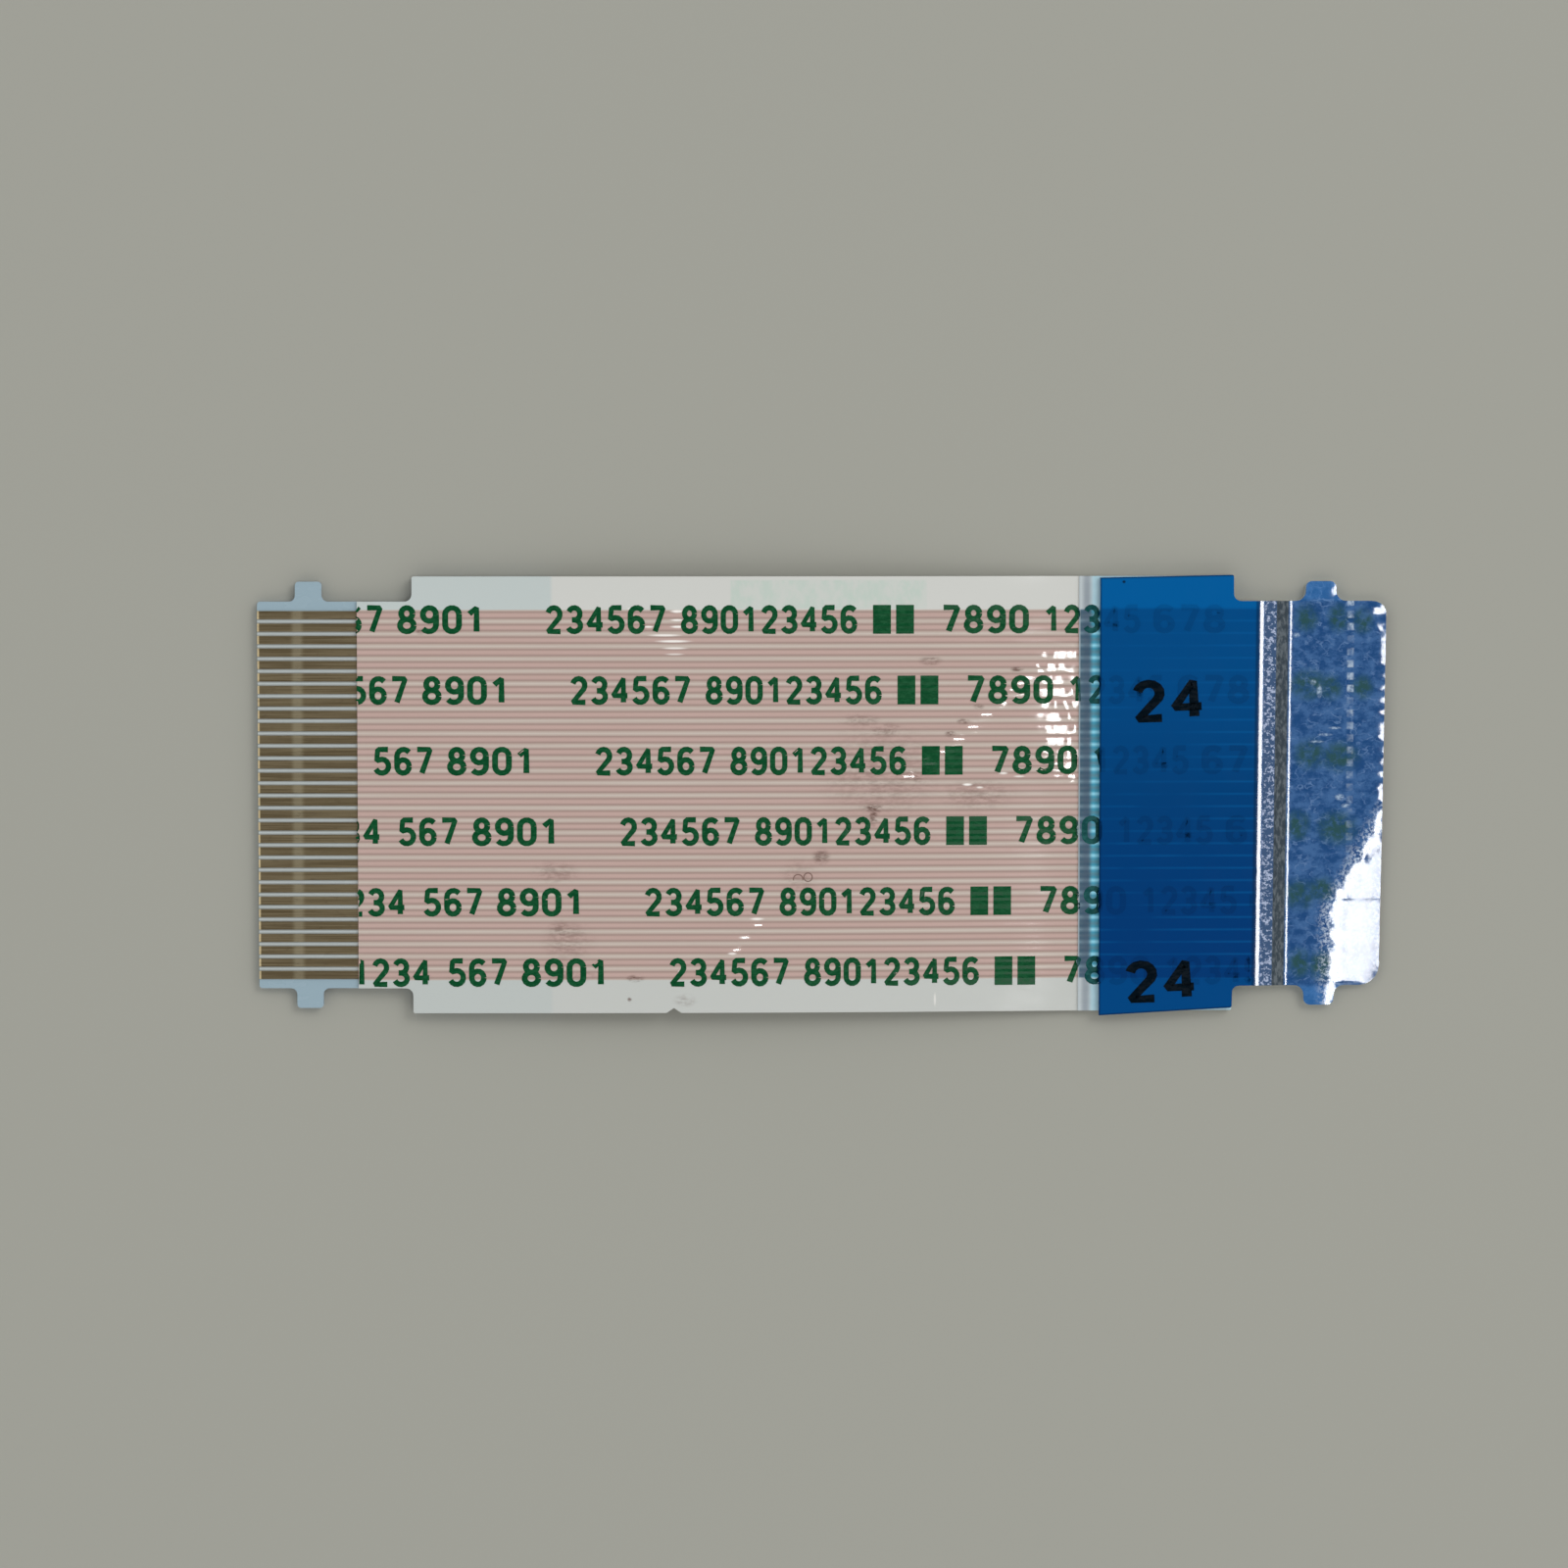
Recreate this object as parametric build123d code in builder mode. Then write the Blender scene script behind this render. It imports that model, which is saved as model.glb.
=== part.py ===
"""A flat flex cable: flat conductors between two plastic films, with a stiffener under its left end
and a tape over its right end. The left contacts are bare on top, the right ones underneath.

Millimetres. +X runs along the cable to the taped end, +Z is up. The origin is on the table, under
the middle of the cable, which lies on the table as a shallow bow. The far side is +Y.
"""

import os
from math import radians, tan

from build123d import *

# Conductors
conductor_count = 30
pitch = 0.5
conductor_width = 0.32
conductor_thickness = 0.035

# Films. The top one is pressed down between the conductors and keeps a low ridge over each
bottom_film_thickness = 0.06
top_film_thickness = 0.06
top_web_thickness = 0.075
ridge_wall = 0.02

# Outline from above
cable_length = 45.3
body_margin = 1.55
end_margin = 0.54
shoulder_radius = 0.3
body_corner_radius = 0.08

# Left end, with the stiffener underneath
left_contact_length = 4.0
left_shoulder = 6.2
left_corner_radius = 0.12
stiffener_length = 11.8
stiffener_thickness = 0.205

# Right end, with the tape on top
right_contact_length = 4.5
right_shoulder = 6.0
right_far_corner_radius = 0.5
right_near_corner_radius = 0.8
tape_length = 11.4
tape_thickness = 0.175
adhesive_thickness = 0.03
adhesive_overhang = 0.84

# The tape was laid a little askew: how far each corner of its wide part stands out past the film
tape_overhang_far_inner = -0.06
tape_overhang_far_outer = 0.05
tape_overhang_near_inner = 0.18
tape_overhang_near_outer = -0.12

# Ears that locate each end in its socket
left_ear_position = 2.05
left_ear_width = 1.06
left_ear_height = 0.8
left_ear_root_radius = 0.25
left_ear_tip_radius = 0.15
right_ear_position = 2.45
right_ear_width = 1.22
right_ear_height = 0.8
right_ear_root_radius = 0.4
right_ear_tip_radius = 0.25

# The lie of the cable: the right end is flat on the table, then the cable climbs over the end of
# the bottom film. The tape holds it straight from there on, and the film beside it bends more
land_length = 3.9
crease_position = 5.2
tape_slope_angle = 0.3
bow_slope_angle = 3.5

# Places along the cable
left_end = -cable_length / 2
left_contact_edge = left_end + left_contact_length
left_shoulder_edge = left_end + left_shoulder
stiffener_edge = left_end + stiffener_length
right_end = cable_length / 2
right_contact_edge = right_end - right_contact_length
right_shoulder_edge = right_end - right_shoulder
tape_edge = right_end - tape_length
adhesive_edge = tape_edge - adhesive_overhang
crease_edge = right_end - crease_position
land_edge = right_end - land_length
bow_middle = (stiffener_edge + adhesive_edge) / 2

# Half widths
outer_conductor = (conductor_count - 1) * pitch / 2
body_half_width = outer_conductor + body_margin
end_half_width = outer_conductor + end_margin

# Heights in the stack, over the underside of the conductors
bottom_film_low = -bottom_film_thickness
stiffener_low = bottom_film_low - stiffener_thickness
ridge_top = conductor_thickness + top_film_thickness
ridge_width = conductor_width + 2 * ridge_wall
adhesive_top = ridge_top + adhesive_thickness
tape_top = adhesive_top + tape_thickness

# Slopes of the side view, as rise over run. The crease lets the conductors come down by the
# bottom film's thickness where it ends, and the left slope brings the stiffener to the table
crease_slope = bottom_film_thickness / (right_contact_length - land_length)
tape_slope = tan(radians(tape_slope_angle))
bow_slope = tan(radians(bow_slope_angle))
crease_height = crease_slope * (land_edge - crease_edge)
bow_length = adhesive_edge - stiffener_edge
bow_start_height = crease_height + tape_slope * (crease_edge - adhesive_edge)
stiffener_slope = (bow_start_height + bow_slope * bow_length / 2 + stiffener_low) / (
    bow_length / 2 + stiffener_length
)

# Blanks reach this far past the outline before they are trimmed to it
spare = 2.0

# Two lengths are the same when they differ by less than this
tolerance = 1e-6


def lay_height(x):
    """Height over the table of the conductors' underside, at a place along the cable."""
    if x > land_edge:
        return 0
    if x > crease_edge:
        return crease_slope * (land_edge - x)
    if x > adhesive_edge:
        return crease_height + tape_slope * (crease_edge - x)
    into_bow = min(adhesive_edge - x, bow_length)
    turn = (bow_slope + stiffener_slope) / bow_length
    bow_height = bow_start_height + bow_slope * into_bow - turn * into_bow**2 / 2
    return bow_height - stiffener_slope * max(stiffener_edge - x, 0)


def side_view(low, high):
    """The side view of a layer, between two heights in the stack, along the whole cable."""
    with BuildSketch(Plane.XZ) as view:
        with BuildLine():
            for height in (low, high):
                places = (left_end - spare, stiffener_edge, bow_middle, adhesive_edge)
                places += (crease_edge, land_edge, right_end + spare)
                points = [(x, lay_height(x) + height) for x in places]
                Line(points[0], points[1])
                ThreePointArc(*points[1:4])
                Polyline(*points[3:])
            for x in (left_end - spare, right_end + spare):
                Line((x, lay_height(x) + low), (x, lay_height(x) + high))
        make_face()
    return view.sketch


def ear_pair(x, width, height, root_radius, tip_radius):
    """An ear on each side of an end, with rounded tips and with roots that flare."""
    with BuildSketch() as ears:
        with Locations((x, 0)):
            Rectangle(width + 4 * root_radius, 2 * end_half_width)
            Rectangle(width, 2 * (end_half_width + height))
        roots = [v for v in ears.vertices() if abs(abs(v.X - x) - width / 2) < tolerance]
        fillet([v for v in roots if abs(abs(v.Y) - end_half_width) < tolerance], root_radius)
        rows = ears.vertices().group_by(Axis.Y)
        fillet(rows[0] + rows[-1], tip_radius)
    return ears.sketch


def outline(start, finish):
    """The cable's outline from above, between two places along it."""
    with BuildSketch() as shape:
        with Locations(((left_shoulder_edge + right_shoulder_edge) / 2, 0)):
            Rectangle(right_shoulder_edge - left_shoulder_edge, 2 * body_half_width)
        fillet(shape.vertices(), body_corner_radius)
        Rectangle(cable_length, 2 * end_half_width)
        fillet(shape.vertices().group_by(Axis.X)[0], left_corner_radius)
        fillet(right_corners(shape)[:1], right_near_corner_radius)
        fillet(right_corners(shape)[-1:], right_far_corner_radius)
        shoulders = [v for v in shape.vertices() if is_shoulder(v)]
        fillet(shoulders, shoulder_radius)
        add(left_ears)
        add(right_ears)
        with Locations(((start + finish) / 2, 0)):
            Rectangle(finish - start, 2 * (body_half_width + spare), mode=Mode.INTERSECT)
    return shape.sketch


def right_corners(shape):
    """The corners at the right end of the outline in hand, from the near side to the far side."""
    return shape.vertices().group_by(Axis.X)[-1].sort_by(Axis.Y)


def is_shoulder(vertex):
    """Whether a corner of the outline is one where the body steps in to an end."""
    at_end_side = abs(abs(vertex.Y) - end_half_width) < tolerance
    at_step = min(abs(vertex.X - left_shoulder_edge), abs(vertex.X - right_shoulder_edge)) < tolerance
    return at_end_side and at_step


def blank(low, high):
    """Adds a layer to the part in hand, between two heights in the stack and too wide all round."""
    extrude(side_view(low, high), amount=body_half_width + spare, both=True)


def strip(low, high, width):
    """One strip along the middle of the cable, to be repeated over the conductors."""
    return extrude(side_view(low, high), amount=width / 2, both=True, mode=Mode.PRIVATE)


def trim(plan):
    """Cuts the part in hand to a plan."""
    extrude(plan, amount=spare, both=True, mode=Mode.INTERSECT)


def tape_plan():
    """The tape from above: askew over the body, and cut with the film from the shoulders on."""
    with BuildSketch() as shape:
        with BuildLine():
            Polyline(
                (tape_edge, body_half_width + tape_overhang_far_inner),
                (right_shoulder_edge, body_half_width + tape_overhang_far_outer),
                (right_shoulder_edge, -body_half_width - tape_overhang_near_outer),
                (tape_edge, -body_half_width - tape_overhang_near_inner),
                close=True,
            )
        make_face()
        add(outline(right_shoulder_edge, right_end))
    return shape.sketch


left_ears = ear_pair(
    left_end + left_ear_position,
    left_ear_width,
    left_ear_height,
    left_ear_root_radius,
    left_ear_tip_radius,
)
right_ears = ear_pair(
    right_end - right_ear_position,
    right_ear_width,
    right_ear_height,
    right_ear_root_radius,
    right_ear_tip_radius,
)
whole_outline = outline(left_end, right_end)
conductor_rows = GridLocations(pitch, pitch, 1, conductor_count)
wire_strip = strip(0, conductor_thickness, conductor_width)
ridge_strip = strip(top_web_thickness, ridge_top, ridge_width)

# Bottom film, from the left end to the bare contacts on the right
with BuildPart() as bottom_insulation:
    blank(bottom_film_low, 0)
    trim(outline(left_end, right_contact_edge))
bottom_insulation.part.label = "bottom_insulation"

# Top film, from the bare contacts on the left to the right end, with the conductors' channels
with BuildPart() as top_insulation:
    blank(0, top_web_thickness)
    with conductor_rows:
        add(ridge_strip)
    with conductor_rows:
        add(wire_strip, mode=Mode.SUBTRACT)
    trim(outline(left_contact_edge, right_end))
top_insulation.part.label = "top_insulation"

# Stiffener under the left end
with BuildPart() as stiffener:
    blank(stiffener_low, bottom_film_low)
    trim(outline(left_end, stiffener_edge))
stiffener.part.label = "stiffener"

# Clear adhesive under the tape, which fills the valleys between the ridges
with BuildPart() as tape_adhesive:
    blank(top_web_thickness, adhesive_top)
    with conductor_rows:
        add(ridge_strip, mode=Mode.SUBTRACT)
    trim(outline(adhesive_edge, right_end))
tape_adhesive.part.label = "tape_adhesive"

# Blue tape over the right end
with BuildPart() as stiffening_tape:
    blank(adhesive_top, tape_top)
    trim(tape_plan())
stiffening_tape.part.label = "stiffening_tape"

# Conductors, numbered from the near side
conductors = []
for number in range(conductor_count):
    with BuildPart() as conductor:
        with Locations((0, number * pitch - outer_conductor)):
            add(wire_strip)
        trim(whole_outline)
    conductor.part.label = f"conductor_{number + 1:02d}"
    conductors.append(conductor.part)

layers = [
    bottom_insulation.part,
    top_insulation.part,
    stiffener.part,
    tape_adhesive.part,
    stiffening_tape.part,
]

os.makedirs("parts", exist_ok=True)
for piece in layers + conductors:
    export_step(piece, f"parts/{piece.label}.step")
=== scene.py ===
"""The looks of a flat flex cable: clear pink-striped films, bronze contacts, blue tape and print.

Metres. +X runs along the cable to the taped end, +Y is the far side and +Z is up.
"""

from math import cos, hypot, pi, radians, sin, tan

import bpy
from mathutils import Matrix, Vector, noise


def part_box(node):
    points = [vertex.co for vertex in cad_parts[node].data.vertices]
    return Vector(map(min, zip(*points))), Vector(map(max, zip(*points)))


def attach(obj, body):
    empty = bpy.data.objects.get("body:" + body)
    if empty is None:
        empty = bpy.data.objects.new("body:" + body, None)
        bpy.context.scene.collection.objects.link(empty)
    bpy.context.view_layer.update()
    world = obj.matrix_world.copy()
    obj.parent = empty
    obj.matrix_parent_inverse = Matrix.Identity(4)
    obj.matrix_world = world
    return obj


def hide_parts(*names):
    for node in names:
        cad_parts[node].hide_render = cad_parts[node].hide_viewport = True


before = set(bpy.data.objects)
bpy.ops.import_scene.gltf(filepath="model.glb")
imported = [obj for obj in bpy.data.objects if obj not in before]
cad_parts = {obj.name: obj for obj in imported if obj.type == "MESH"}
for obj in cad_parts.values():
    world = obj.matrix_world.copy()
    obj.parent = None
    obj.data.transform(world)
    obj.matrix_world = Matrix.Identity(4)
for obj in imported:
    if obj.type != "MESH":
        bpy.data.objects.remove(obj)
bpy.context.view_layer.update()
bpy.ops.object.select_all(action="DESELECT")

mm = 0.001

# Places read from the frame
top_film_low, top_film_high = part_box("top_insulation")
bottom_film_low, bottom_film_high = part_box("bottom_insulation")
stiffener_box_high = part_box("stiffener")[1]
adhesive_box_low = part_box("tape_adhesive")[0]
tape_box_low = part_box("stiffening_tape")[0]
near_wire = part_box("conductor_01")
next_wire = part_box("conductor_02")

left_end = bottom_film_low.x
right_end = top_film_high.x
strip_edge = top_film_low.x
right_contact_edge = bottom_film_high.x
stiffener_edge = stiffener_box_high.x
adhesive_edge = adhesive_box_low.x
tape_edge = tape_box_low.x
body_half_width = bottom_film_high.y
pitch = next_wire[0].y - near_wire[0].y
wire_half_width = (near_wire[1].y - near_wire[0].y) / 2
outer_wire = -(near_wire[0].y + near_wire[1].y) / 2
wire_count = round(2 * outer_wire / pitch) + 1

# Outline, as in the part
end_margin = 0.54 * mm
end_half_width = outer_wire + end_margin
left_shoulder_edge = left_end + 6.2 * mm
right_shoulder_edge = right_end - 6.0 * mm
shoulder_radius = 0.3 * mm
body_corner_radius = 0.08 * mm
left_corner_radius = 0.12 * mm
right_far_corner_radius = 0.5 * mm
right_near_corner_radius = 0.8 * mm
ear_height = 0.8 * mm
tape_overhang_far_inner = -0.06 * mm
tape_overhang_far_outer = 0.05 * mm
tape_overhang_near_inner = 0.18 * mm
tape_overhang_near_outer = -0.12 * mm

# Heights in the stack, over the underside of the conductors
wire_top = 0.035 * mm
bottom_film_underside = -0.06 * mm
film_web_top = 0.075 * mm
ridge_height = 0.02 * mm
adhesive_top = 0.125 * mm
tape_top = 0.3 * mm


def ear_pair(middle, width, root_radius, tip_radius):
    """What sets the two ears of an end, apart from their height."""
    edges = (middle - width / 2, middle + width / 2)
    return {"middle": middle, "edges": edges, "root": root_radius, "tip": tip_radius}


left_ears = ear_pair(left_end + 2.05 * mm, 1.06 * mm, 0.25 * mm, 0.15 * mm)
right_ears = ear_pair(right_end - 2.45 * mm, 1.22 * mm, 0.4 * mm, 0.25 * mm)

# The lie of the cable
land_edge = right_end - 3.9 * mm
crease_edge = right_end - 5.2 * mm
crease_slope = -bottom_film_underside / (land_edge - right_contact_edge)
tape_slope = tan(radians(0.3))
bow_slope = tan(radians(3.5))
crease_height = crease_slope * (land_edge - crease_edge)
bow_length = adhesive_edge - stiffener_edge
bow_start_height = crease_height + tape_slope * (crease_edge - adhesive_edge)
stiffener_length = stiffener_edge - left_end
stiffener_underside = -0.265 * mm
stiffener_slope = (bow_start_height + bow_slope * bow_length / 2 + stiffener_underside) / (
    bow_length / 2 + stiffener_length
)


def lay_height(x):
    """Height over the table of the conductors' underside, at a place along the cable."""
    if x > land_edge:
        return 0
    if x > crease_edge:
        return crease_slope * (land_edge - x)
    if x > adhesive_edge:
        return crease_height + tape_slope * (crease_edge - x)
    into_bow = min(adhesive_edge - x, bow_length)
    turn = (bow_slope + stiffener_slope) / bow_length
    bow_height = bow_start_height + bow_slope * into_bow - turn * into_bow**2 / 2
    return bow_height - stiffener_slope * max(stiffener_edge - x, 0)


def clamped(value):
    """A number brought between 0 and 1."""
    return min(max(value, 0), 1)


def eased(value, low, high):
    """Goes smoothly from 0 to 1 as a number goes from low to high, or down from high to low."""
    share = clamped((value - low) / (high - low))
    return share * share * (3 - 2 * share)


# Modelling by hand


def start_sheet(name, start, finish, half_width):
    """A flat rectangle between two places along the cable, left open in edit mode."""
    middle = ((start + finish) / 2, 0, 0)
    bpy.ops.mesh.primitive_plane_add(size=1, location=middle)
    sheet = bpy.context.object
    sheet.name = name
    sheet.scale = (finish - start, 2 * half_width, 1)
    bpy.ops.object.transform_apply(location=True, rotation=False, scale=True)
    bpy.ops.object.mode_set(mode="EDIT")
    return sheet


def cut_across(axis, places):
    """Cuts the piece in edit mode along lines across the cable (axis 0) or along it (axis 1)."""
    normal = (1, 0, 0) if axis == 0 else (0, 1, 0)
    for place in places:
        bpy.ops.mesh.select_all(action="SELECT")
        point = (place, 0, 0) if axis == 0 else (0, place, 0)
        bpy.ops.mesh.bisect(plane_co=point, plane_no=normal)


def pick(sheet, kind, chosen):
    """Selects the corners or edges of the piece in edit mode whose middle passes a test."""
    bpy.ops.mesh.select_mode(type=kind)
    bpy.ops.mesh.select_all(action="DESELECT")
    bpy.ops.object.mode_set(mode="OBJECT")
    corners = sheet.data.vertices
    items = corners if kind == "VERT" else sheet.data.edges
    for item in items:
        if kind == "VERT":
            middle = item.co
        else:
            middle = (corners[item.vertices[0]].co + corners[item.vertices[1]].co) / 2
        item.select = chosen(middle)
    count = sum(item.select for item in items)
    bpy.ops.object.mode_set(mode="EDIT")
    return count


def near(value, target, reach=0.004 * mm):
    return abs(value - target) < reach


def push_out_side(sheet, start, finish, distance):
    """Pushes both long sides of a sheet out, between two places along the cable."""
    for side in (-1, 1):
        pick(
            sheet,
            "EDGE",
            lambda c: start < c.x < finish and near(abs(c.y), end_half_width) and c.y * side > 0,
        )
        bpy.ops.mesh.extrude_region_move(TRANSFORM_OT_translate={"value": (0, side * distance, 0)})


def round_corners(sheet, radius, chosen):
    """Rounds the corners of a flat outline that pass a test."""
    if pick(sheet, "VERT", chosen):
        bpy.ops.mesh.bevel(affect="VERTICES", offset=radius, segments=5, offset_type="OFFSET")


def cable_outline(name, start, finish):
    """The cable's flat outline between two places, with its shoulders and ears, in edit mode."""
    sheet = start_sheet(name, start, finish, end_half_width)
    ears = [pair for pair in (left_ears, right_ears) if start < pair["middle"] < finish]
    body_edges = (max(left_shoulder_edge, start), min(right_shoulder_edge, finish))
    cuts = list(body_edges)
    for pair in ears:
        cuts += pair["edges"]
    cut_across(0, [cut for cut in cuts if start < cut < finish])
    push_out_side(sheet, *body_edges, body_half_width - end_half_width)
    for pair in ears:
        push_out_side(sheet, *pair["edges"], ear_height)
    bpy.ops.mesh.select_all(action="SELECT")
    bpy.ops.mesh.remove_doubles(threshold=0.001 * mm)
    bpy.ops.mesh.dissolve_limited(angle_limit=radians(1))

    def round_at(radius, places, half_width):
        """Rounds the corners at some places along the cable and at a distance from its middle."""
        at_place = lambda c: any(near(c.x, place) for place in places)
        round_corners(sheet, radius, lambda c: at_place(c) and near(abs(c.y), half_width))

    for pair in ears:
        round_at(pair["root"], pair["edges"], end_half_width)
        round_at(pair["tip"], pair["edges"], end_half_width + ear_height)
    shoulders = (left_shoulder_edge, right_shoulder_edge)
    round_at(shoulder_radius, shoulders, end_half_width)
    round_at(body_corner_radius, shoulders, body_half_width)
    round_corners(sheet, left_corner_radius, lambda c: near(c.x, left_end))
    round_corners(sheet, right_far_corner_radius, lambda c: near(c.x, right_end) and c.y > 0)
    round_corners(sheet, right_near_corner_radius, lambda c: near(c.x, right_end) and c.y < 0)
    return sheet


# A flat piece is this thick until it is laid. What stands higher than that is laid a little higher
flat_thickness = mm
overlap_step = 0.002 * mm


def thicken():
    """Gives the flat piece in edit mode a thickness for now: the real one comes when it is laid."""
    bpy.ops.mesh.select_all(action="SELECT")
    bpy.ops.mesh.extrude_region_move(TRANSFORM_OT_translate={"value": (0, 0, flat_thickness)})
    bpy.ops.mesh.select_all(action="SELECT")
    bpy.ops.mesh.normals_make_consistent(inside=False)
    bpy.ops.object.mode_set(mode="OBJECT")


def lay(piece, low, high):
    """Lays a flat piece on the cable's lie, between two levels that depend on the place."""
    for corner in piece.data.vertices:
        x, y, z = corner.co
        level = high if z > 0.4 * flat_thickness else low
        overlap = overlap_step * clamped(z / flat_thickness - 1)
        corner.co.z = lay_height(x) + level(x, y) + overlap
    piece.data.update()


def flat(height):
    """A level for laying a piece that is the same at every place."""
    return lambda x, y: height


def select_only(piece):
    """Makes a piece the only one selected, and the active one."""
    bpy.ops.object.select_all(action="DESELECT")
    piece.select_set(True)
    bpy.context.view_layer.objects.active = piece


def finish_piece(piece, material, smooth_angle=0, nodes=()):
    """Smooths a piece, gives it its material and hangs it on the cable's body."""
    select_only(piece)
    if smooth_angle:
        bpy.ops.object.shade_smooth_by_angle(angle=radians(smooth_angle))
    else:
        bpy.ops.object.shade_flat()
    piece.data.materials.clear()
    piece.data.materials.append(material)
    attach(piece, "root")
    if nodes:
        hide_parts(*nodes)


# Surfaces of the films


def across_wire(y):
    """Distance from the middle of the nearest conductor, or more than a pitch in the margins."""
    if abs(y) > outer_wire + pitch / 2:
        return 2 * pitch
    first = outer_wire % pitch
    return abs((y - first + pitch / 2) % pitch - pitch / 2)


def wire_row(y):
    """Middle of the nearest conductor, or the place itself in the margins."""
    if abs(y) > outer_wire + pitch / 2:
        return y
    return round((y - outer_wire) / pitch) * pitch + outer_wire


# Where handling has creased the film: the points of each crease in millimetres, and the slope of
# its steps at the first and last point in degrees
creases = (
    (((9.5, 5.9), (8.2, 4.9), (7.4, 4.0), (6.0, 2.9), (4.62, 1.62), (2.9, 0.45)), 1.2, 3.6),
    (((-2.6, -5.1), (-3.27, -5.7), (-3.9, -6.5)), 5.3, 5.5),
)

# Dents in the film, in millimetres: the middle and the reach along and across the cable
dents = (
    (-6.2, 6.6, 1.3, 0.9),
    (5.9, 0.3, 1.6, 0.4),
    (-5.7, -7.15, 0.3, 0.25),
)
dent_depth = 0.01 * mm

# Relief of the film
slow_wave_height = 0.008 * mm
sag_depth = 0.026 * mm
sag_reach = 1.7 * mm
bulge_slope = tan(radians(0.8))
glint_relief = 0.018 * mm


def crease_step(x, y):
    """Height of the creases: at each conductor a slow rise to the crease and then a step down."""
    height = 0
    row = wire_row(y)
    for points, first_slope, last_slope in creases:
        places = [Vector(point) * mm for point in points]
        for start, finish in zip(places, places[1:]):
            if finish.y < row <= start.y:
                line = start.x + (finish.x - start.x) * (start.y - row) / (start.y - finish.y)
                share = (places[0].y - row) / (places[0].y - places[-1].y)
                slope = tan(radians(first_slope + (last_slope - first_slope) * share))
                uneven = 0.5 + 0.5 * noise.noise(Vector((7, row / (0.4 * mm), 1)))
                length = (0.2 + 0.6 * uneven) * mm
                line += 0.25 * mm * noise.noise(Vector((3, row / (0.45 * mm), 5)))
                if x > line:
                    height += slope * max(length - (x - line), 0)
                else:
                    height += slope * length * eased(x, line - 1.3 * mm, line)
    return height


def bulge_reach(row):
    """How far from the adhesive the film bulges and shines, and more so on the far side."""
    uneven = noise.noise(Vector((1, row / (0.4 * mm), 9)))
    return (0.7 + 0.7 * eased(row, 1.3 * mm, 3.2 * mm) + 0.6 * uneven) * mm


def lit_share(x, y):
    """1 beside the adhesive where the film bulges a little and shines, and 0 elsewhere."""
    row = wire_row(y)
    edge = adhesive_edge - bulge_reach(row)
    share = eased(x, edge - 0.3 * mm, edge)
    return share * eased(row, 0.2 * mm, 1.2 * mm) * eased(row, 6.1 * mm, 5.5 * mm)


def wave(x, y):
    """The film's faint waves, its sag beside the adhesive, and its creases and dents."""
    slow = noise.noise(Vector((x / (5 * mm), y / (3.5 * mm), 0.3)))
    height = slow_wave_height * slow * eased(adhesive_edge - x, 0, 2 * mm)
    from_glue = max(adhesive_edge - x, 0)
    row = wire_row(y)
    bulge = eased(row, 0.2 * mm, 1.2 * mm) * eased(row, 6.2 * mm, 5.4 * mm)
    sag = 1 - (1 - clamped(from_glue / sag_reach)) ** 2
    sag *= eased(from_glue, 9 * mm, sag_reach)
    height -= sag_depth * sag * (1 - bulge)
    reach = bulge_reach(row)
    lift = min(from_glue, reach) * eased(from_glue, 5 * mm, reach)
    height += bulge_slope * lift * bulge
    if x < adhesive_edge:
        height += crease_step(x, y)
        shine = lit_share(x, y)
        if shine:
            rough = noise.noise(Vector((x / (0.34 * mm), row / (0.2 * mm), 2)))
            height += glint_relief * shine * rough
    for middle_x, middle_y, reach_x, reach_y in dents:
        away = hypot((x / mm - middle_x) / reach_x, (y / mm - middle_y) / reach_y)
        if away < 1:
            height -= dent_depth * (1 - away)
    return height


ridge_reach = 0.2 * mm
thinnest_film = 0.015 * mm


def film_top(x, y):
    """Top of the top film, over the conductors' underside."""
    share = min(across_wire(y) / ridge_reach, 1)
    ridge = ridge_height * cos(share * pi / 2) ** 2
    top = film_web_top + ridge * (1 - 0.35 * lit_share(x, y)) + wave(x, y)
    return max(top, wire_top + thinnest_film)


def film_channels(x, y):
    """Underside of the top film, with a channel for each conductor."""
    return wire_top if across_wire(y) < wire_half_width + 0.002 * mm else 0


# Where the films are cut into a mesh: at the edges of the conductors' ridges, each millimetre along
# the cable, and more finely beside the adhesive
wire_places = [i * pitch - outer_wire for i in range(wire_count)]
ridge_lines = [0, 0.055 * mm, 0.11 * mm, wire_half_width, wire_half_width + 0.005 * mm, ridge_reach]
row_cuts = sorted({p + s * r for p in wire_places for r in ridge_lines for s in (-1, 1)})
long_cuts = [left_end + i * mm for i in range(1, 45)]
fine_reach = 2.4 * mm
fine_cuts = [adhesive_edge - i * 0.1 * mm for i in range(1, 24)]

nick_place = -5.85 * mm
nick_width = 0.8 * mm
nick_depth = 0.2 * mm
nick_cuts = [nick_place - nick_width / 2, nick_place - nick_width / 8, nick_place + nick_width / 2]


def nick_edge(film):
    """Pushes a small nick into the near edge of a film."""
    at_nick = lambda c: near(c.x, nick_cuts[1]) and near(c.y, -body_half_width)
    pick(film, "VERT", at_nick)
    bpy.ops.transform.translate(value=(0, nick_depth, 0))


def refine_creases(film):
    """Divides the film's long strips near its creases, so that they can take the relief."""
    on_strip = lambda c: min(abs(c.x - cut) for cut in long_cuts) > 0.05 * mm
    creased = lambda c: max(crease_step(c.x + step * mm, c.y) for step in (-0.4, 0, 0.4)) > 0
    pick(film, "EDGE", lambda c: on_strip(c) and c.x < adhesive_edge - fine_reach and creased(c))
    bpy.ops.mesh.subdivide(number_cuts=9)


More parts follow.
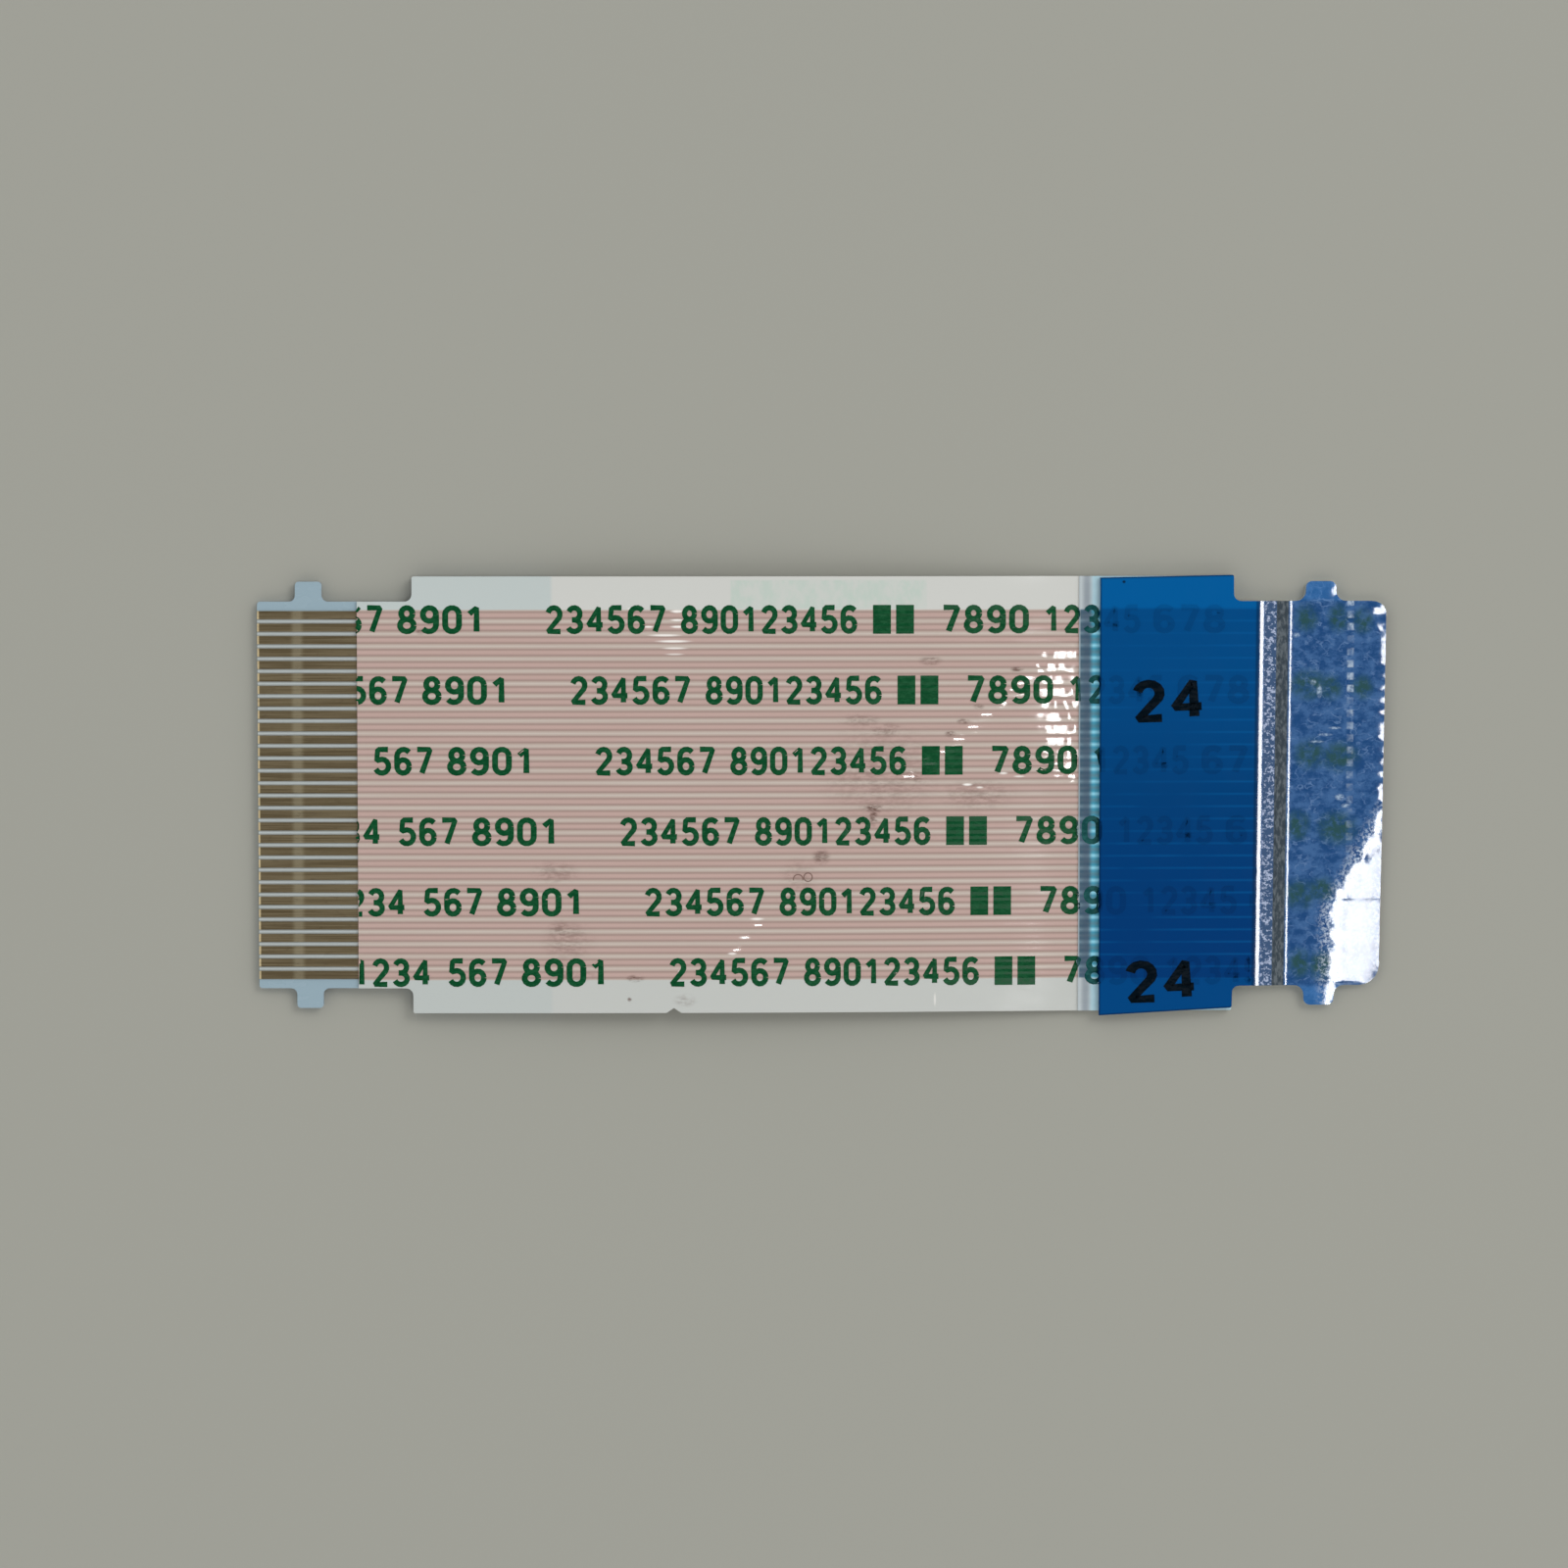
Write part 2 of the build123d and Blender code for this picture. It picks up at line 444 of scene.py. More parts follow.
def make_top_film(material):
    film = cable_outline("top_film", strip_edge, right_end)
    cut_across(1, row_cuts)
    cut_across(0, [x for x in long_cuts if x > strip_edge])
    cut_across(0, [adhesive_edge, crease_edge, land_edge])
    refine_creases(film)
    cut_across(0, fine_cuts)
    cut_across(0, nick_cuts)
    nick_edge(film)
    thicken()
    lay(film, film_channels, film_top)
    cut_askew(film)
    finish_piece(film, material, 40, ["top_insulation"])


def make_bottom_film(material):
    film = cable_outline("bottom_film", left_end, right_contact_edge)
    cut_across(0, [x for x in long_cuts if x < right_contact_edge] + [adhesive_edge, crease_edge])
    cut_across(0, nick_cuts)
    nick_edge(film)
    thicken()
    lay(film, flat(bottom_film_underside), flat(0))
    finish_piece(film, material, 30, ["bottom_insulation"])


# The tape

# The bend of the tape's top, as a narrow facet and then a steeper fall to its foot. They lean a
# little across the cable
facet_start = crease_edge + 0.17 * mm
facet_finish = crease_edge + 0.45 * mm
facet_slope = tan(radians(3.1))
tape_foot = land_edge + 0.14 * mm
bend_lean = 0.008
facet_height = crease_height + tape_slope * (crease_edge - facet_start)
fall_height = facet_height - facet_slope * (facet_finish - facet_start)


def tape_lay(x):
    """The lie of the tape's top: straight to its bend, down to its foot and flat from there."""
    if x < facet_start:
        return crease_height + tape_slope * (crease_edge - x)
    if x < facet_finish:
        return facet_height - facet_slope * (x - facet_start)
    return fall_height * clamped((tape_foot - x) / (tape_foot - facet_finish))


def rounded_lay(x):
    """The lie of the tape's top with its bends a little rounded."""
    reach = 0.06 * mm
    steps = 6
    total = sum(tape_lay(x + reach * (2 * i / steps - 1)) for i in range(steps + 1))
    return total / (steps + 1)


askew_reach = 0.2 * mm


def cut_askew(piece):
    """Draws the right end out towards the far side, because it was cut a little askew."""
    for corner in piece.data.vertices:
        share = clamped((corner.co.x - right_end) / mm + 1)
        far_share = clamped((corner.co.y + end_half_width) / (2 * end_half_width))
        corner.co.x += askew_reach * share * far_share


# The white corner: where it starts along the cable, and where its border leans across it
bright_corner_start = right_end - 1.95 * mm
bright_corner_low = -4.7 * mm
bright_corner_high = -1.15 * mm
corner_lean = (right_end - bright_corner_start) / (bright_corner_high - bright_corner_low)


# The bend of the corners: how steep it gets, over what length, and where it is steep enough to
# shine
fold_slope = tan(radians(2.6))
fold_reach = 0.45 * mm
fold_shine = 0.33 * mm


def fold_line(y):
    """Where the tape's bent corners start to shine, at a place across the cable."""
    ear_edge = right_ears["edges"][1]
    if y < -end_half_width:
        return ear_edge - 0.3 * mm
    if y > end_half_width:
        return ear_edge - 0.16 * mm
    jagged = 0.14 * mm * noise.noise(Vector((5, y / (0.24 * mm), 3)))
    if y > 6.5 * mm:
        return right_end - 0.42 * mm * eased(y, 6.5 * mm, 7.3 * mm) + jagged
    return bright_corner_start + corner_lean * max(y - bright_corner_low, 0) + jagged


# Relief of the tape's end: its crinkle, the speckle beside the bent corners and its pressed edge
crinkle_height = 0.0005 * mm
speckle_height = 0.013 * mm
edge_fall = 0.0115 * mm


def tape_surface(x, y):
    """Top of the tape, over the conductors' underside."""
    jagged = 0.02 * mm * noise.noise(Vector((9, y / (0.3 * mm), 6)))
    bend = rounded_lay(x - jagged - bend_lean * y) - lay_height(x)
    on_land = eased(x, land_edge - 0.9 * mm, land_edge + 0.1 * mm)
    crinkle = noise.noise(Vector((x / (0.24 * mm), y / (0.24 * mm), 0)))
    past_line = x - fold_line(y)
    speckled = 1 - clamped(abs(past_line) / (0.45 * mm))
    fold = max(past_line, 0)
    past_fold = max(past_line + fold_shine, 0)
    fall = min(past_fold, fold_reach) ** 2 / (2 * fold_reach) + max(past_fold - fold_reach, 0)
    wire = cos(pi * min(across_wire(y) / (pitch / 2), 1)) / 2 + 0.5
    edge = eased(x, right_end - 0.2 * mm, right_end) * (1 - clamped(fold / (0.25 * mm)))
    edge *= min(3 * wire - 0.5, 1)
    return (
        tape_top
        + bend
        + on_land * (crinkle_height + speckle_height * speckled) * crinkle
        - edge_fall * edge
        - fold_slope * fall
    )


def make_tape(material):
    tape = cable_outline("tape", tape_edge, right_end)
    on_body = lambda c: c.x < right_shoulder_edge + 0.05 * mm
    pick(tape, "VERT", lambda c: on_body(c) and abs(c.y) > end_half_width + 0.3 * mm)
    bpy.ops.object.mode_set(mode="OBJECT")
    for corner in tape.data.vertices:
        if corner.select:
            share = (corner.co.x - tape_edge) / (right_shoulder_edge - tape_edge)
            if corner.co.y > 0:
                inner, outer = tape_overhang_far_inner, tape_overhang_far_outer
            else:
                inner, outer = -tape_overhang_near_inner, -tape_overhang_near_outer
            corner.co.y += inner + (outer - inner) * share
    bpy.ops.object.mode_set(mode="EDIT")
    fine = 0.1 * mm
    fine_start = crease_edge - 0.2 * mm
    fine_finish = land_edge + 0.5 * mm
    widest = 8.7 * mm
    places = [tape_edge + i * 0.5 * mm for i in range(1, 13)]
    places += [fine_start + i * fine / 2 for i in range(int((fine_finish - fine_start) / fine * 2))]
    places += [fine_finish + i * fine for i in range(int((right_end - fine_finish) / fine))]
    cut_across(0, places)
    cut_across(1, [y * fine for y in range(int(-widest / fine), int(widest / fine))])
    thicken()
    lay(tape, flat(adhesive_top), tape_surface)
    cut_askew(tape)
    finish_piece(tape, material, 50, ["stiffening_tape"])


# Finishes


def tone(red, green, blue):
    """A colour as it shows on a screen, from 0 to 255, made linear for a material."""
    linear = []
    for level in (red, green, blue):
        level /= 255
        linear.append(level / 12.92 if level <= 0.04045 else ((level + 0.055) / 1.055) ** 2.4)
    return (*linear, 1)


class Finish:
    """A material and the few kinds of node that its patterns are drawn with."""

    def __init__(self, name, roughness=0.3, specular=0.5, metallic=0):
        self.material = bpy.data.materials.new(name)
        self.material.use_nodes = True
        self.nodes = self.material.node_tree.nodes
        self.links = self.material.node_tree.links
        self.shader = self.nodes["Principled BSDF"]
        self.shader.inputs["Roughness"].default_value = roughness
        self.shader.inputs["Specular IOR Level"].default_value = specular
        self.shader.inputs["Metallic"].default_value = metallic
        coordinates = self.add("TexCoord", {}).outputs["Object"]
        scaled = self.add("VectorMath", {0: coordinates, "Scale": 1 / mm}, operation="SCALE")
        self.place = scaled.outputs[0]
        self.x, self.y, self.z = self.add("SeparateXYZ", {0: self.place}).outputs

    def add(self, kind, values, **settings):
        """A new node. A value that comes from a node is linked to its socket, and another is set."""
        made = self.nodes.new("ShaderNode" + kind)
        for name, setting in settings.items():
            setattr(made, name, setting)
        for socket, value in values.items():
            self.feed(made.inputs[socket], value)
        return made

    def feed(self, socket, value):
        if isinstance(value, bpy.types.NodeSocket):
            self.links.new(value, socket)
        else:
            socket.default_value = value

    def calc(self, operation, *values):
        """A number worked out from others."""
        return self.add("Math", dict(enumerate(values)), operation=operation).outputs[0]

    def times(self, first, *others):
        """Numbers multiplied by each other."""
        for other in others:
            first = self.calc("MULTIPLY", first, other)
        return first

    def largest(self, first, *others):
        """The largest of some numbers."""
        for other in others:
            first = self.calc("MAXIMUM", first, other)
        return first

    def minus(self, first, second):
        return self.calc("SUBTRACT", first, second)

    def unsigned(self, value):
        return self.calc("ABSOLUTE", value)

    def line(self, value, slope, start):
        """A number that follows another along a straight line."""
        return self.calc("MULTIPLY_ADD", value, slope, start)

    def rise(self, *numbers):
        """Goes smoothly from 0 to 1, or between the last two numbers, as the first goes from the
        second to the third."""
        made = self.add("MapRange", dict(enumerate(numbers)), interpolation_type="SMOOTHSTEP")
        return made.outputs[0]

    def band(self, value, low, high, edge):
        """1 between two values and 0 outside them, with soft edges."""
        inside = self.rise(value, low - edge, low + edge)
        return self.times(inside, self.rise(value, high - edge, high + edge, 1.0, 0.0))

    def mix(self, share, first, second, blend="MIX"):
        """One colour mixed with another."""
        values = {"Factor": share, 6: first, 7: second}
        return self.add("Mix", values, data_type="RGBA", blend_type=blend).outputs[2]

    def over(self, colour, *layers):
        """A colour with tones laid over it, each given as its share and its levels."""
        for share, *levels in layers:
            colour = self.mix(share, colour, tone(*levels))
        return colour

    def ramp(self, value, *stops):
        """A colour that follows a value from 0 to 1 through stops."""
        made = self.add("ValToRGB", {0: value})
        elements = made.color_ramp.elements
        while len(elements) < len(stops):
            elements.new(0.5)
        for element, (position, colour) in zip(elements, stops):
            element.position = position
            element.color = colour
        return made.outputs[0]

    def grain(self, along, across, detail=2.0, roughness=0.5, shift=0.0):
        """Noise with a size in millimetres along and across the cable."""
        scale = (1 / along, 1 / across, 1)
        stretched = self.add("Mapping", {0: self.place, "Location": [shift] * 3, "Scale": scale})
        values = {"Vector": stretched.outputs[0], "Scale": 1}
        values |= {"Detail": detail, "Roughness": roughness}
        return self.add("TexNoise", values).outputs[0]

    def spot(self, x, y, half_length, half_width, strength):
        """A soft patch at a place on the cable, in millimetres."""
        location = (-x / half_length, -y / half_width, 0)
        scale = (1 / half_length, 1 / half_width, 0)
        centred = self.add("Mapping", {0: self.place, "Location": location, "Scale": scale})
        distance = self.add("VectorMath", {0: centred.outputs[0]}, operation="LENGTH")
        return self.rise(distance.outputs["Value"], 0.3, 1.2, strength, 0.0)

    def spots(self, rows, *strength):
        """Soft patches at several places, each with its own strength or all with the same."""
        return self.largest(0.0, *(self.spot(*row, *strength) for row in rows))

    def ring(self, x, y, radius, half_width):
        """A thin ring round a place on the cable, in millimetres."""
        away_x = self.minus(self.x, x)
        away_y = self.minus(self.y, y)
        squares = self.line(away_x, away_x, self.times(away_y, away_y))
        off = self.unsigned(self.minus(self.calc("SQRT", squares), radius))
        return self.rise(off, half_width * 0.6, half_width * 1.4, 1.0, 0.0)

    def wires(self):
        """0 midway between two conductors and 1 on the middle of one."""
        half_pitch = pitch / mm / 2
        return self.calc("DIVIDE", self.calc("PINGPONG", self.y, half_pitch), half_pitch)

    def margin(self, edge=7.46, softness=0.03):
        """1 in the margins beyond the outer conductors."""
        return self.rise(self.unsigned(self.y), edge - softness, edge + softness)

    def bump(self, height, distance):
        """Relief of a depth in millimetres, for the shading."""
        values = {"Strength": 1, "Distance": distance * mm, "Height": height}
        return self.add("Bump", values).outputs[0]

    def done(self, colour, roughness=None, normal=None):
        """Joins the patterns to the shader and returns the material."""
        values = {"Base Color": colour, "Roughness": roughness, "Normal": normal}
        for name, value in values.items():
            if value is not None:
                self.feed(self.shader.inputs[name], value)
        return self.material


# Dirt on the film, and in the last row a painted shade beside the nick in its near edge, in
# millimetres: middle, half sizes and strength
smudges_and_nick_shade = (
    (-10.5, -5.5, 0.6, 0.5, 0.5),
    (-10.2, -5.9, 1.1, 0.9, 0.35),
    (-9.9, -7.3, 0.9, 0.25, 0.4),
    (-7.5, -7.4, 0.4, 0.16, 0.9),
    (-10.7, -3.1, 1.0, 0.5, 0.35),
    (-16.1, 6.6, 0.25, 0.16, 0.6),
    (0.0, -2.5, 0.4, 0.35, 0.7),
    (2.1, -0.55, 0.5, 0.22, 1.0),
    (2.1, -0.9, 0.2, 0.4, 1.0),
    (2.4, 0.9, 2.6, 2.2, 0.3),
    (3.7, 0.75, 0.5, 0.4, 0.6),
    (4.4, 5.4, 0.5, 0.2, 0.7),
    (-7.74, -8.25, 0.1, 0.1, 0.9),
    (-0.9, -3.3, 0.8, 0.8, 0.25),
    (2.6, 2.6, 0.8, 0.35, 0.5),
    (1.6, 3.0, 0.9, 0.3, 0.4),
    (7.9, 5.05, 0.3, 0.12, 0.9),
    (6.35, 3.55, 0.25, 0.12, 0.9),
    (5.75, 2.95, 0.3, 0.14, 0.9),
    (5.2, 2.45, 0.25, 0.14, 0.85),
    (6.3, 0.0, 1.6, 0.7, 0.35),
    # Painted shade beside the nick
    (-5.5, -8.3, 0.5, 0.3, 0.3),
)

# Painted highlights: white glints on the film's ridges by its creases and dents, given the same way
painted_film_glints = (
    (-7.6, 7.5, 0.2, 0.07, 1.0),
    (-5.8, 7.4, 0.3, 0.07, 1.0),
    (-7.35, 7.1, 0.13, 0.06, 0.9),
    (-5.8, 7.05, 0.3, 0.05, 1.0),
    (-6.95, 6.78, 0.25, 0.05, 0.9),
    (-5.75, 6.78, 0.35, 0.06, 1.0),
    (-6.3, 6.44, 0.7, 0.055, 0.9),
    (-5.95, 6.2, 0.75, 0.06, 1.0),
    (-5.9, 5.92, 0.55, 0.05, 0.8),
    (-5.9, 5.68, 0.4, 0.045, 0.6),
    (5.9, 0.4, 0.22, 0.06, 1.0),
    (6.4, 0.28, 0.16, 0.05, 0.8),
    (7.35, 0.85, 0.2, 0.06, 0.8),
    (8.0, 0.72, 0.25, 0.045, 0.7),
    (-5.7, -7.15, 0.1, 0.1, 1.0),
    (-2.6, -5.0, 0.3, 0.06, 0.9),
    (-3.1, -5.75, 0.25, 0.06, 0.9),
    (-3.6, -6.4, 0.2, 0.06, 0.8),
    (4.6, -8.3, 0.05, 0.3, 0.5),
)


def film_finish():
    """Clear film: pink over the conductors, pale between them and in the margins, with painted shade
    on the ridges' flanks, a painted shade beside the nick and painted white glints.
    """
    film = Finish("film_pink_striped")
    # Across a pitch: pale between the conductors, a painted shade line on each ridge's flank, and
    # pink on the ridge
    stripes = film.ramp(
        film.wires(),
        (0.0, tone(205, 194, 184)),
        (0.28, tone(191, 174, 164)),
        (0.52, tone(162, 140, 132)),
        (0.66, tone(178, 155, 147)),
        (0.8, tone(195, 167, 159)),
        (1.0, tone(197, 170, 162)),
    )
    streaks = film.grain(6, 0.12, 3)
    stripes = film.mix(film.rise(streaks, 0.35, 0.75, 0.0, 0.22), stripes, tone(178, 152, 142))
    stiffened = film.rise(film.x, stiffener_edge / mm - 0.1, stiffener_edge / mm + 0.1, 1.0, 0.0)
    near_side = film.rise(film.y, -1, 1, 1.0, 0.0)
    # The underside's print, which shows through the far margin as a faint band
    ghost = film.times(
        film.band(film.x, -3.65, 4.25, 0.05),
        film.band(film.y, 7.5, 8.65, 0.05),
        film.rise(film.grain(0.35, 0.6, 3, 0.6), 0.35, 0.7, 0.15, 0.5),
    )
    margins = film.over(
        film.mix(stiffened, tone(209, 210, 205), tone(194, 203, 201)),
        (film.times(near_side, 0.6), 190, 194, 190),
        (ghost, 178, 204, 190),
    )
    colour = film.mix(film.margin(), stripes, margins)
    mottle = film.rise(film.grain(0.35, 0.12, 4, 0.7), 0.35, 0.65)
    # Soft dark patches: dirt, and a painted shade beside the nick
    dirt_and_shade = film.times(film.spots(smudges_and_nick_shade), mottle)
    # A hair that lies in a loop and an arch
    hair_width = 0.025
    arch = film.times(film.ring(-0.94, -3.4, 0.19, hair_width), film.rise(film.y, -3.5, -3.4))
    hair = film.largest(film.ring(-0.54, -3.32, 0.17, hair_width), arch)
    dirt_and_shade = film.largest(dirt_and_shade, film.times(hair, 0.8))
    # Painted white glints, laid over the dirt and the painted shade
    colour = film.over(colour, (dirt_and_shade, 104, 78, 70), (film.spots(painted_film_glints), 250, 246, 240))
    roughness = film.rise(film.grain(1.5, 0.6, 3), 0.3, 0.7, 0.05, 0.08)
    normal = film.bump(film.grain(0.5, 0.3, 3), 0.0006)
    return film.done(colour, roughness, normal)


def bottom_film_finish():
    """The bottom film: bluish where it is bare on the left, striped underneath."""
    film = Finish("film_blue_margin", roughness=0.2, specular=0.4)
    stripes = film.ramp(
        film.wires(),
        (0.0, tone(200, 192, 184)),
        (0.35, tone(176, 160, 152)),
        (0.6, tone(190, 164, 156)),
        (1.0, tone(196, 170, 162)),
    )
    bare = film.rise(film.x, strip_edge / mm - 0.02, strip_edge / mm + 0.02, 1.0, 0.0)
    gaps = film.ramp(film.wires(), (0.0, tone(190, 198, 198)), (0.4, tone(140, 142, 136)))
    body = film.mix(film.margin(), stripes, tone(196, 199, 195))
    contact_side = film.mix(film.margin(7.42), gaps, tone(151, 173, 184))
    colour = film.mix(bare, body, contact_side)
    roughness = film.rise(film.grain(1, 0.4), 0.3, 0.7, 0.16, 0.3)
    normal = film.bump(film.grain(0.4, 0.3, 3), 0.003)
    return film.done(colour, roughness, normal)


def stiffener_finish():
    """Pale blue polyester."""
    stiffener = Finish("stiffener_pale_blue", roughness=0.28, specular=0.4)
    cloud = stiffener.rise(stiffener.grain(3, 2, 3), 0.3, 0.7)
    colour = stiffener.mix(cloud, tone(146, 166, 186), tone(158, 176, 194))
    roughness = stiffener.rise(cloud, 0, 1, 0.24, 0.34)
    normal = stiffener.bump(stiffener.grain(0.3, 0.3, 4), 0.003)
    return stiffener.done(colour, roughness, normal)


def conductor_finish():
    """Dull bronze plating, drawn along the conductor, with a painted highlight across it."""
    wire = Finish("conductor_bronze", roughness=0.35, specular=0.5, metallic=0.45)
    drawn = wire.rise(wire.grain(3.5, 0.04, 3), 0.3, 0.7)
    # A painted highlight across the contacts, where they curve a little
    bend_highlight = wire.band(wire.x, -21.25, -20.85, 0.12)
    cut_end = wire.rise(wire.x, left_end / mm + 0.04, left_end / mm + 0.1, 1.0, 0.0)
    stains = wire.rise(wire.grain(0.4, 0.15, 4, 0.7), 0.55, 0.75, 0.0, 0.5)
    colour = wire.over(
        wire.mix(drawn, tone(104, 90, 64), tone(126, 113, 86)),
        (wire.times(bend_highlight, 0.5), 168, 158, 130),
        (cut_end, 225, 205, 160),
        (stains, 92, 80, 58),
    )
    roughness = wire.rise(drawn, 0, 1, 0.28, 0.45)
    return wire.done(colour, roughness, wire.bump(drawn, 0.003))


def adhesive_finish():
    """Clear grey-blue adhesive, which shows the film below, with a painted glow of light from the
    tape's edge and a painted highlight along its own edge.
    """
    glue = Finish("adhesive_clear_blue", roughness=0.12, specular=0.5)
    start = adhesive_edge / mm
    wires = glue.ramp(
        glue.wires(),
        (0.0, tone(112, 138, 152)),
        (0.5, tone(66, 94, 112)),
        (1.0, tone(78, 102, 118)),
    )
    plain = glue.mix(glue.margin(), wires, tone(190, 199, 202))
    # Painted glow, as of light coming in through the tape's edge
    glow = glue.ramp(
        glue.wires(),
        (0.0, tone(158, 230, 250)),
        (0.45, tone(68, 160, 188)),
        (1.0, tone(92, 145, 162)),
    )
    glow = glue.mix(glue.margin(), glow, tone(174, 208, 219))
    slate = glue.band(glue.x, start + 0.16, start + 0.46, 0.12)
    # A painted highlight along the adhesive's edge
    rim = glue.rise(glue.x, start + 0.02, start + 0.08, 1.0, 0.0)
    colour = glue.over(
        glue.mix(glue.rise(glue.x, start + 0.38, start + 0.62), plain, glow),
        (glue.times(slate, 0.45), 66, 82, 104),
        (glue.times(rim, 0.7), 176, 186, 190),
    )
    roughness = glue.rise(glue.grain(0.5, 0.3), 0.3, 0.7, 0.1, 0.2)
    return glue.done(colour, roughness, glue.bump(glue.wires(), 0.012))


# Print that shows as dull green patches through the tape's end, in millimetres: middle and half
# sizes
green_patches = (
    (19.6, 7.1, 0.55, 0.65),
    (20.9, 7.1, 0.5, 0.65),
    (21.9, 7.0, 0.5, 0.6),
    (19.7, 4.4, 0.9, 0.7),
    (20.6, 4.3, 0.55, 0.6),
    (21.9, 4.3, 0.5, 0.55),
    (19.8, 1.6, 0.75, 0.7),
    (21.0, 1.5, 0.85, 0.7),
    (19.3, -1.3, 0.6, 0.7),
    (20.9, -1.4, 0.95, 0.75),
    (19.4, -4.1, 0.75, 0.7),
    (20.3, -3.9, 0.65, 0.6),
    (19.4, -6.9, 0.55, 0.7),
    (20.3, -7.0, 0.6, 0.7),
)

# Pale marks on the tape's end, given the same way
pale_marks = (
    (19.2, 6.42, 0.16, 0.12),
    (20.05, 2.1, 0.3, 0.06),
    (20.4, 2.38, 0.3, 0.06),
    (20.78, 2.65, 0.28, 0.06),
    (21.0, -0.15, 0.2, 0.14),
    (21.25, -0.5, 0.2, 0.1),
    (19.9, 4.5, 0.14, 0.12),
    (20.15, 4.15, 0.12, 0.3),
)


def tape_body_colour(tape, across):
    """The smooth part of the tape: faint lines between the conductors, dark cut rims and a painted
    shade at the bend.
    """
    height = tape.rise(tape.y, -7, 7)
    stops = ((0.0, tone(0, 56, 115)), (0.5, tone(0, 63, 119)), (1.0, tone(0, 74, 133)))
    body = tape.ramp(height, *stops)
    lines = tape.rise(tape.wires(), 0.0, 0.3, 0.52, 0.0)
    patchy = tape.rise(tape.grain(3, 2, 2), 0.35, 0.65, 0.1)
    shown = tape.largest(patchy, tape.rise(tape.x, 13.5, 17.0))
    body = tape.mix(tape.times(lines, shown), body, tone(4, 88, 150))
    edge_colour = tape.ramp(height, (0.0, tone(0, 70, 130)), (1.0, tone(0, 91, 156)))
    body = tape.mix(tape.margin(7.5, 0.08), body, edge_colour)
    # The cut rims of the wide part, whose long sides lean as the tape was laid
    from_start = tape.minus(tape.x, tape_edge / mm)
    from_far = tape.minus(tape.line(from_start, 0.0204, 8.74), tape.y)
    from_near = tape.calc("ADD", tape.line(from_start, -0.0556, 8.98), tape.y)
    from_side = tape.calc("MINIMUM", from_far, from_near)
    from_rim = tape.calc("MINIMUM", from_start, from_side)
    bend = facet_start / mm
    return tape.over(
        body,
        (tape.rise(from_rim, 0.03, 0.08, 0.65, 0.0), 0, 34, 70),
        (tape.spot(12.2, 8.57, 0.08, 0.07, 0.9), 8, 12, 20),
        # A painted shade band at the bend, beside its highlight
        (tape.rise(across, bend - 0.16, bend - 0.08, 0.0, 0.6), 0, 34, 68),
    )


def tape_end_colour(tape):
    """The crinkled end of the tape: flecked and painted lighter as a sheen, with the print below, a
    painted speckled highlight by the white corner and rows of pale squares of painted reflection.
    """
    # Painted sheen: the end is painted lighter and flecked, with pale scribbles where its crinkles
    # would catch the light
    sheen_scribble = tape.unsigned(tape.minus(tape.grain(0.5, 0.36, 2, 0.5), 0.5))
    sheen_scribble = tape.rise(sheen_scribble, 0.0, 0.05, 1.0, 0.0)
    presence = tape.rise(tape.grain(0.5, 0.4, 3, 0.6, 7.0), 0.4, 0.68)
    fleck = tape.rise(tape.grain(0.5, 0.4, 4, 0.65, 3.0), 0.36, 0.66)
    ears = tape.rise(tape.unsigned(tape.y), 7.7, 7.95, 0.0, 0.3)
    torn = tape.rise(tape.grain(0.3, 0.3, 4, 0.65, 5.0), 0.36, 0.6, 0.35, 1.0)
    broken = tape.rise(tape.grain(0.11, 0.09, 3, 0.6, 8.0), 0.4, 0.6, 0.25, 1.0)
    # The painted speckled highlight along the border of the white corner
    corner_start = bright_corner_start / mm
    line_start = corner_start - corner_lean * bright_corner_low / mm
    border = tape.largest(tape.line(tape.y, corner_lean, line_start), corner_start)
    from_border = tape.minus(tape.x, border)
    glint_fringe = tape.times(
        tape.rise(tape.grain(0.12, 0.12, 3, 0.7, 11.0), 0.46, 0.6),
        tape.rise(from_border, -0.75, 0.05, 0.0, 0.95),
        tape.rise(from_border, 0.05, 0.45, 1.0, 0.2),
    )
    # Pale squares over the conductors, fainter towards the near side: painted reflections of the
    # conductors' ends below the tape
    squares = tape.times(
        tape.band(tape.x, 21.27, 21.53, 0.04),
        tape.rise(tape.wires(), 0.3, 0.55),
        tape.rise(tape.grain(0.5, 0.6, 2, 0.5, 2.0), 0.35, 0.6, 0.15, 0.95),
        tape.rise(tape.grain(0.16, 0.16, 2, 0.6, 6.0), 0.35, 0.55, 0.35, 1.0),
        tape.rise(tape.y, 0, 4.5, 0.3, 1.0),
    )
    return tape.over(
        tape.mix(fleck, tone(32, 73, 124), tone(66, 104, 153)),
        (tape.times(sheen_scribble, presence), 92, 124, 168),
        (ears, 66, 136, 206),
        (tape.times(tape.spots(green_patches, 1.0), torn), 44, 80, 84),
        (tape.times(tape.spots(pale_marks, 0.8), broken), 170, 192, 214),
        (glint_fringe, 206, 218, 234),
        (squares, 176, 194, 212),
    )


